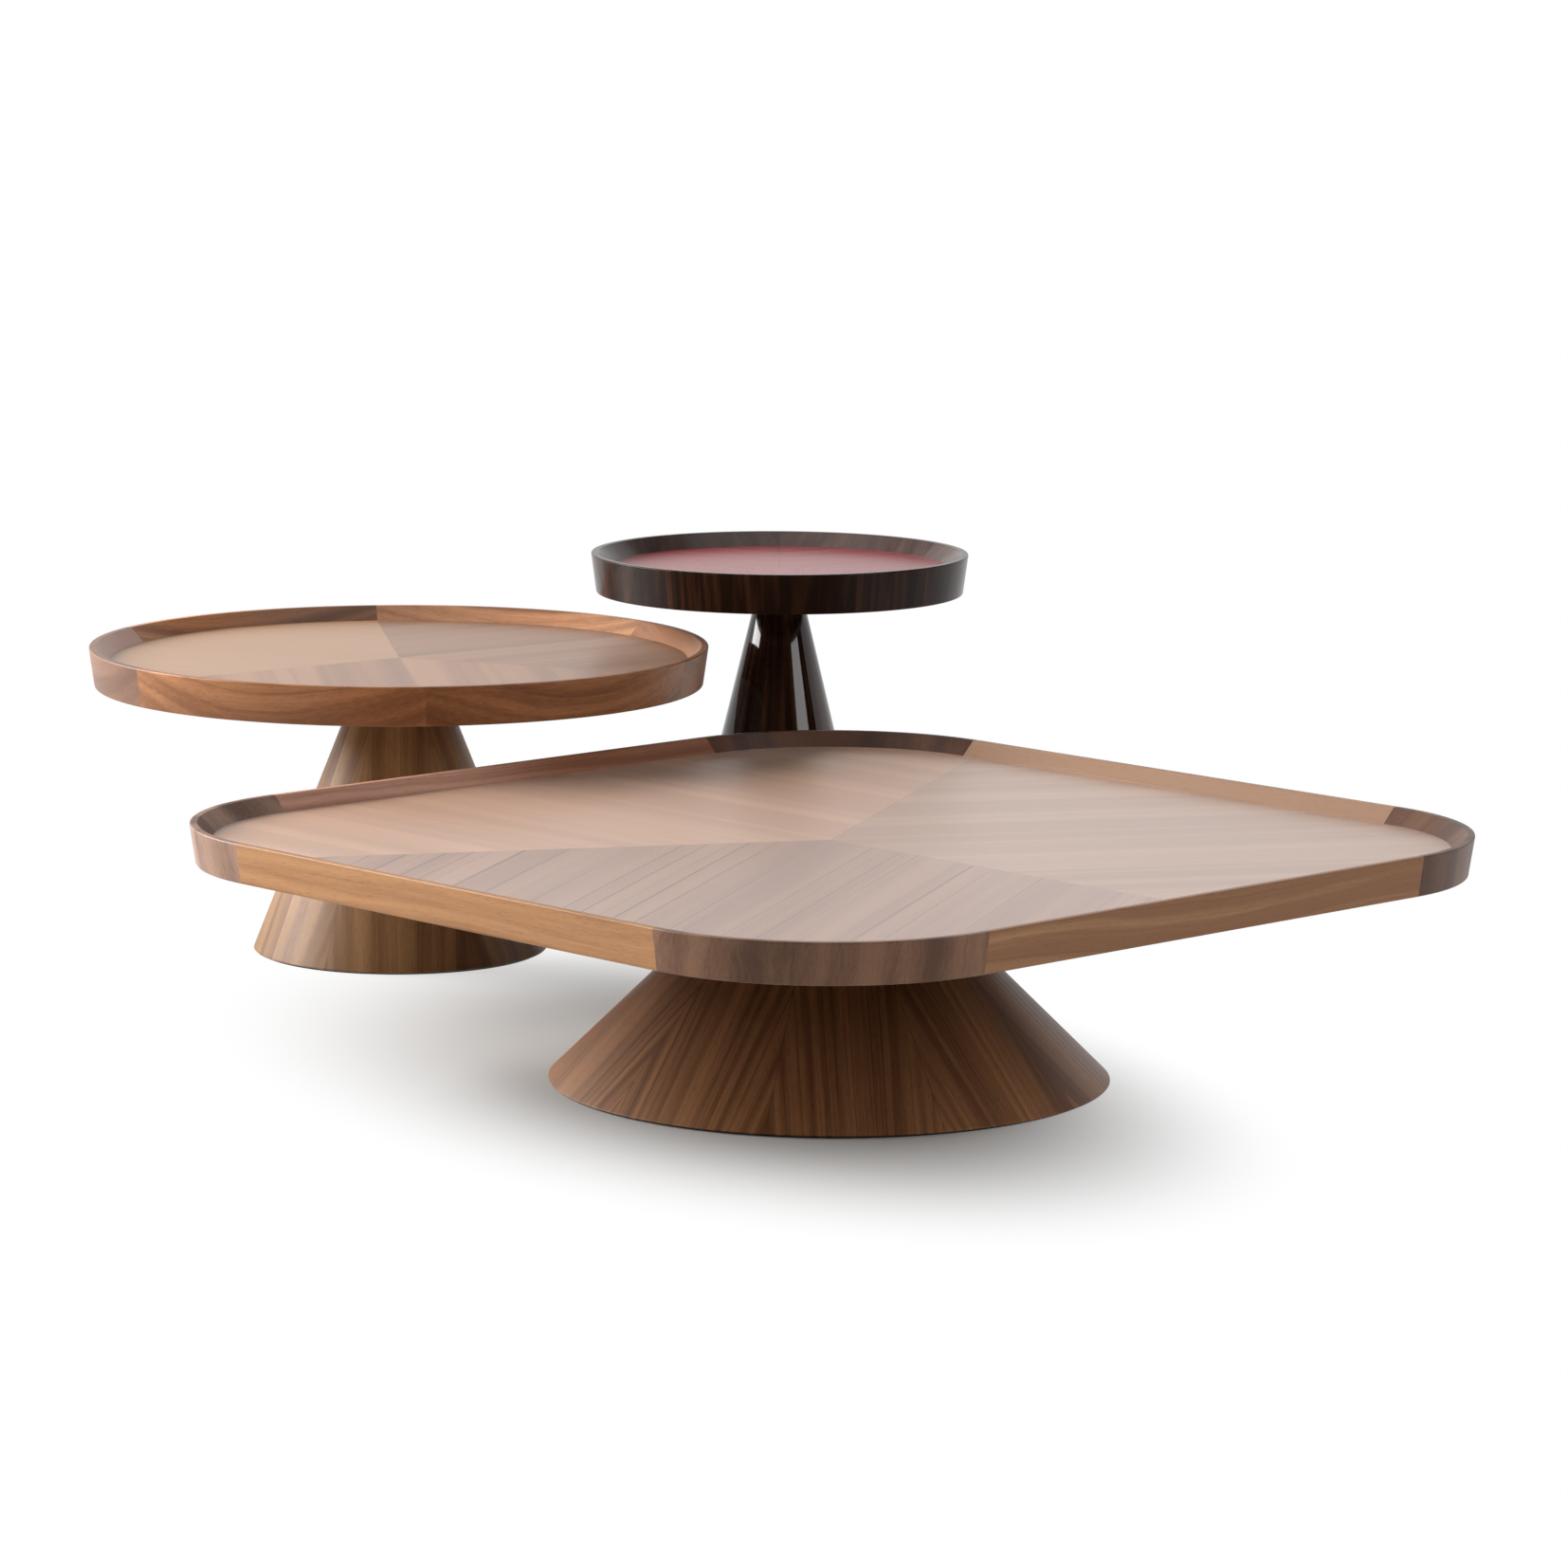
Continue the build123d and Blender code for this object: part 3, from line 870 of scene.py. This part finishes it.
NECKS = {"large": 0.069, "medium": 0.050, "small": 0.027}      # outer radius under the tray
WALLS = {"large": 0.015, "medium": 0.012, "small": 0.009}
FOOT_EASE = 0.0015
SANDED = 0.0005
QUARTER = math.pi / 2
GORES = {"large": 10, "medium": 6}
FIRST_JOINTS = {"large": 177.32, "medium": 200}                # their directions in degrees
CONE_LOG = 0.37                          # which log the gores are cut from
LARGE_CONE_TONES = ((0.36, 0.163, 0.067), (0.128, 0.049, 0.018), (0.034, 0.013, 0.006))
MEDIUM_CONE_TONES = ((0.37, 0.195, 0.080), (0.17, 0.074, 0.027), (0.06, 0.026, 0.011))


def taper(table):
    """How much a cone's radius shrinks for each metre of height."""
    return (table.foot - NECKS[table.name]) / (table.under - table.pad - FOOT_EASE)


def cone_curve(table):
    """The wall of a cone, its foot at the path."""
    neck, wall = NECKS[table.name], WALLS[table.name]
    return section_curve(f"{table.name}_cone_section", [
        (-FOOT_EASE, table.pad, SANDED), (0, table.pad + FOOT_EASE, SANDED),
        (neck - table.foot, table.under, 0), (neck - wall - table.foot, table.under, 0),
        (taper(table) * FOOT_EASE - wall, table.pad, 0)])


def cone(table, material):
    """The shell of a table's foot, swept once round its axis."""
    arm = 4 / 3 * math.tan(QUARTER / 4) * table.foot
    path = path_curve(f"{table.name}_cone_path", [
        (Vector((math.cos(k * QUARTER), math.sin(k * QUARTER), 0)) * table.foot,
         Vector((-math.sin(k * QUARTER), math.cos(k * QUARTER), 0)) * arm)
        for k in range(4)], closed=True)
    section = cone_curve(table)
    piece = swept_piece(f"{table.name}_cone_shell", table, path, section, material)
    bpy.data.objects.remove(section)
    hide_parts(f"{table.name}_cone")


def gore_place(wood, table):
    """Metres along and across a gore laid flat, its nearest joint, and metres to that."""
    gores, first_joint = GORES[table.name], math.radians(FIRST_JOINTS[table.name])
    x, y, z = object_place(wood)
    x, y = x - table.axis.x, y - table.axis.y
    slant = math.atan(taper(table))
    radius = wood.maths("SQRT", x * x + y * y)
    turn = wood.maths("ARCTAN2", y, x) / (2 * math.pi) - first_joint / (2 * math.pi)
    count = (turn + 2) * gores           # never below 0
    joint = wood.maths("ROUND", count)
    off_middle = (wood.maths("FRACT", count) - 0.5) * (2 * math.pi / gores * math.sin(slant))
    reach = radius / math.sin(slant)
    across = reach * wood.maths("SINE", abs(off_middle))
    along = reach * wood.maths("COSINE", off_middle)
    to_joint = (wood.maths("FRACT", count + 0.5) - 0.5) * (2 * math.pi / gores) * radius
    return along, across, wood.maths("MODULO", joint, gores), to_joint


def cone_walnut(table, tones, bands, lines, pitch, spacing, waver=0.7, painted_shading=0.0):
    """Walnut for a cone's gores, painted paler at the neck and darker at the foot as light and
    shade.
    """
    material, wood = new_material(f"{table.name}_cone_veneer")
    along, across, joint, to_joint = gore_place(wood, table)
    colour, roughness, relief = walnut(wood, along, across, 0.0, joint + CONE_LOG, tones, bands,
                                       lines, pitch, spacing, waver)
    # Painted light and shade: paler towards the neck, darker towards the foot.
    if painted_shading:
        shade = 1 - painted_shading / 2 + painted_shading * (object_place(wood)[2] / table.under)
        colour = wood.mix(1.0, colour, wood.vector(shade, shade, shade), "MULTIPLY")
    surface(wood, seam_line(wood, colour, to_joint, dark=tones[2]), roughness, height=relief,
            depth=VENEER_RELIEF, specular=0.28)
    return material


cone(large, cone_walnut(large, LARGE_CONE_TONES, bands=0.65, lines=0.9, pitch=0.010,
                        spacing=0.011))
# The medium cone gets painted light and shade: paler at the neck, darker at the foot.
cone(medium, cone_walnut(medium, MEDIUM_CONE_TONES, bands=0.8, lines=0.5, pitch=0.018,
                         spacing=0.016, painted_shading=0.6))

CONE_GLOSS_DARK, CONE_GLOSS_PALE = (0.018, 0.007, 0.004), (0.060, 0.026, 0.014)
GRAIN_RADIUS = 0.08                      # where the streaks are as wide as on the rim


def cone_grain(lacquer):
    """The grain of the dark cone climbs it."""
    x, y, z = object_place(lacquer)
    x, y = x - small.axis.x, y - small.axis.y
    return z, lacquer.maths("ARCTAN2", y, x) * GRAIN_RADIUS, 0.0, None


cone(small, dark_gloss("dark_gloss_cone", cone_grain, CONE_GLOSS_DARK, CONE_GLOSS_PALE,
                       polish=0.38, haze=0.03, unevenness=0.06))
